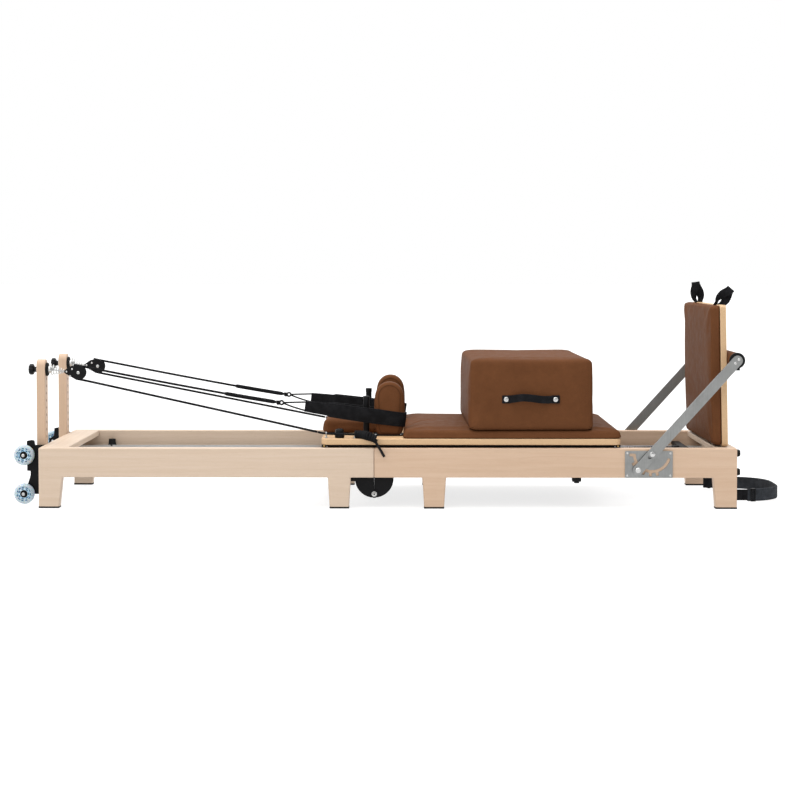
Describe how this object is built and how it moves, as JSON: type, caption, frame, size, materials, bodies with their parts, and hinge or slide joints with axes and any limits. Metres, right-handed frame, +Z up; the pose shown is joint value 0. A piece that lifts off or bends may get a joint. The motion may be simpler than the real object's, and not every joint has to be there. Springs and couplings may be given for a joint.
{
  "type": "pilates reformer",
  "caption": "Folding wooden pilates reformer with a sprung carriage, ropes over pulleys, padded shoulder rests, tilting footbar, jump board and sitting box.",
  "frame": {"origin": "on the floor, under the middle of the machine's bounding box", "axes": "+X from the head end to the foot end, +Y to the far side, +Z up"},
  "size_m": [2.657, 0.695, 0.7599],
  "materials": {
    "maple": "satin lacquer",
    "birch_ply": "satin lacquer, layered edge",
    "black_steel": "satin black powder coat",
    "brushed_steel": "brushed",
    "aluminium": "satin anodised",
    "black_plastic": "moulded, matte",
    "clear_urethane": "translucent cast urethane",
    "brown_leather": "fine-grained upholstery leather over foam",
    "webbing": "woven nylon",
    "rope": "braided polyester",
    "spring_steel": "bright zinc"
  },
  "bodies": {
    "head_frame": {"head_rail_near": "maple", "head_rail_far": "maple", "head_end_board": "maple", "head_cross_bar": "maple", "head_track_near": "aluminium", "head_track_far": "aluminium", "head_hinge_plate_near": "black_steel", "head_hinge_plate_far": "black_steel", "riser_near": "maple", "riser_far": "maple", "wheel_bracket_near": "black_steel", "wheel_bracket_far": "black_steel", "pulley_block_near": "black_steel", "pulley_block_far": "black_steel"},
    "foot_frame": {"foot_rail_near": "maple", "foot_rail_far": "maple", "foot_end_board": "maple", "foot_track_near": "aluminium", "foot_track_far": "aluminium", "foot_hinge_plate_near": "black_steel", "foot_hinge_plate_far": "black_steel", "spring_bar": "black_steel", "footbar_plate_near": "brushed_steel", "footbar_plate_far": "brushed_steel", "foot_strap": "webbing"},
    "riser_knob_near": {"riser_knob_near": "black_plastic"},
    "riser_knob_far": {"riser_knob_far": "black_plastic"},
    "pulley_sheave_near": {"pulley_sheave_near": "black_plastic"},
    "pulley_sheave_far": {"pulley_sheave_far": "black_plastic"},
    "transport_wheel_upper_near": {"transport_wheel_upper_near": "clear_urethane"},
    "transport_wheel_upper_far": {"transport_wheel_upper_far": "clear_urethane"},
    "transport_wheel_lower_near": {"transport_wheel_lower_near": "clear_urethane"},
    "transport_wheel_lower_far": {"transport_wheel_lower_far": "clear_urethane"},
    "footbar": {"footbar_arm_near": "brushed_steel", "footbar_arm_far": "brushed_steel", "footbar_roller": "brown_leather"},
    "jump_board": {"jump_board_panel": "birch_ply", "jump_board_pad": "brown_leather"},
    "carriage": {"carriage_board": "birch_ply", "carriage_frame": "black_steel", "carriage_pad": "brown_leather", "shoulder_rest_near": "brown_leather", "shoulder_rest_far": "brown_leather", "hand_loop_near": "webbing", "hand_loop_far": "webbing", "rope_near": "rope", "rope_far": "rope"},
    "headrest": {"headrest": "brown_leather"},
    "clamp_knob_near": {"clamp_knob_near": "black_plastic"},
    "clamp_knob_far": {"clamp_knob_far": "black_plastic"},
    "carriage_wheel_head_near": {"carriage_wheel_head_near": "black_plastic"},
    "carriage_wheel_head_far": {"carriage_wheel_head_far": "black_plastic"},
    "carriage_wheel_foot_near": {"carriage_wheel_foot_near": "black_plastic"},
    "carriage_wheel_foot_far": {"carriage_wheel_foot_far": "black_plastic"},
    "springs": {"spring_1": "spring_steel", "spring_2": "spring_steel", "spring_3": "spring_steel", "spring_4": "spring_steel"},
    "sitting_box": {"sitting_box": "brown_leather"}
  },
  "joints": [
    {"name": "fold", "type": "hinge", "parent": "head_frame", "child": "foot_frame", "pos_m": [-0.0987, 0, 0.045], "axis": [0, 1, 0], "range_deg": [0, 180]},
    {"name": "carriage_slide", "type": "slide", "parent": "head_frame", "child": "carriage", "axis": [1, 0, 0], "range_m": [-0.5, 0], "stiffness_N_per_m": 120, "springref_m": 0.4, "deforming": ["rope_near", "rope_far"]},
    {"name": "spring_stretch", "type": "slide", "parent": "carriage", "child": "springs", "axis": [1, 0, 0], "range_m": [0, 0.5], "deforming": ["spring_1", "spring_2", "spring_3", "spring_4"]},
    {"name": "carriage_wheel_head_near_spin", "type": "hinge", "parent": "carriage", "child": "carriage_wheel_head_near", "pos_m": [-0.2, -0.2725, 0.1683], "axis": [0, 1, 0], "continuous": true},
    {"name": "carriage_wheel_head_far_spin", "type": "hinge", "parent": "carriage", "child": "carriage_wheel_head_far", "pos_m": [-0.2, 0.2725, 0.1683], "axis": [0, 1, 0], "continuous": true},
    {"name": "carriage_wheel_foot_near_spin", "type": "hinge", "parent": "carriage", "child": "carriage_wheel_foot_near", "pos_m": [0.64, -0.2725, 0.1683], "axis": [0, 1, 0], "continuous": true},
    {"name": "carriage_wheel_foot_far_spin", "type": "hinge", "parent": "carriage", "child": "carriage_wheel_foot_far", "pos_m": [0.64, 0.2725, 0.1683], "axis": [0, 1, 0], "continuous": true},
    {"name": "headrest_tilt", "type": "hinge", "parent": "carriage", "child": "headrest", "pos_m": [-0.02, 0, 0.2363], "axis": [0, 1, 0], "range_deg": [0, 25]},
    {"name": "clamp_knob_near_turn", "type": "hinge", "parent": "carriage", "child": "clamp_knob_near", "pos_m": [-0.217, -0.285, 0.2363], "axis": [0, 0, 1], "continuous": true},
    {"name": "clamp_knob_far_turn", "type": "hinge", "parent": "carriage", "child": "clamp_knob_far", "pos_m": [-0.217, 0.285, 0.2363], "axis": [0, 0, 1], "continuous": true},
    {"name": "sitting_box_lift", "type": "slide", "parent": "carriage", "child": "sitting_box", "axis": [0, 0, 1], "range_m": [0, 0.3]},
    {"name": "footbar_tilt", "type": "hinge", "parent": "foot_frame", "child": "footbar", "pos_m": [0.84, 0, 0.187], "axis": [0, 1, 0], "range_deg": [0, 47]},
    {"name": "jump_board_lift", "type": "slide", "parent": "foot_frame", "child": "jump_board", "axis": [-0.0227, 0, 0.9997], "range_m": [0, 0.25]},
    {"name": "riser_knob_near_turn", "type": "hinge", "parent": "head_frame", "child": "riser_knob_near", "pos_m": [-1.2666, -0.188, 0.463], "axis": [1, 0, 0], "continuous": true},
    {"name": "riser_knob_far_turn", "type": "hinge", "parent": "head_frame", "child": "riser_knob_far", "pos_m": [-1.2666, 0.188, 0.463], "axis": [1, 0, 0], "continuous": true},
    {"name": "pulley_sheave_near_spin", "type": "hinge", "parent": "head_frame", "child": "pulley_sheave_near", "pos_m": [-1.124, -0.188, 0.452], "axis": [0, 1, 0], "continuous": true},
    {"name": "pulley_sheave_far_spin", "type": "hinge", "parent": "head_frame", "child": "pulley_sheave_far", "pos_m": [-1.124, 0.188, 0.452], "axis": [0, 1, 0], "continuous": true},
    {"name": "transport_wheel_upper_near_spin", "type": "hinge", "parent": "head_frame", "child": "transport_wheel_upper_near", "pos_m": [-1.302, -0.25, 0.172], "axis": [0, 1, 0], "continuous": true},
    {"name": "transport_wheel_upper_far_spin", "type": "hinge", "parent": "head_frame", "child": "transport_wheel_upper_far", "pos_m": [-1.302, 0.25, 0.172], "axis": [0, 1, 0], "continuous": true},
    {"name": "transport_wheel_lower_near_spin", "type": "hinge", "parent": "head_frame", "child": "transport_wheel_lower_near", "pos_m": [-1.302, -0.25, 0.039], "axis": [0, 1, 0], "continuous": true},
    {"name": "transport_wheel_lower_far_spin", "type": "hinge", "parent": "head_frame", "child": "transport_wheel_lower_far", "pos_m": [-1.302, 0.25, 0.039], "axis": [0, 1, 0], "continuous": true}
  ],
  "couplings": [
    {"joint": "spring_stretch", "follows": "carriage_slide", "ratio": -1},
    {"joint": "carriage_wheel_head_near_spin", "follows": "carriage_slide", "rad_per_m": 50},
    {"joint": "carriage_wheel_head_far_spin", "follows": "carriage_slide", "rad_per_m": 50},
    {"joint": "carriage_wheel_foot_near_spin", "follows": "carriage_slide", "rad_per_m": 50},
    {"joint": "carriage_wheel_foot_far_spin", "follows": "carriage_slide", "rad_per_m": 50}
  ]
}
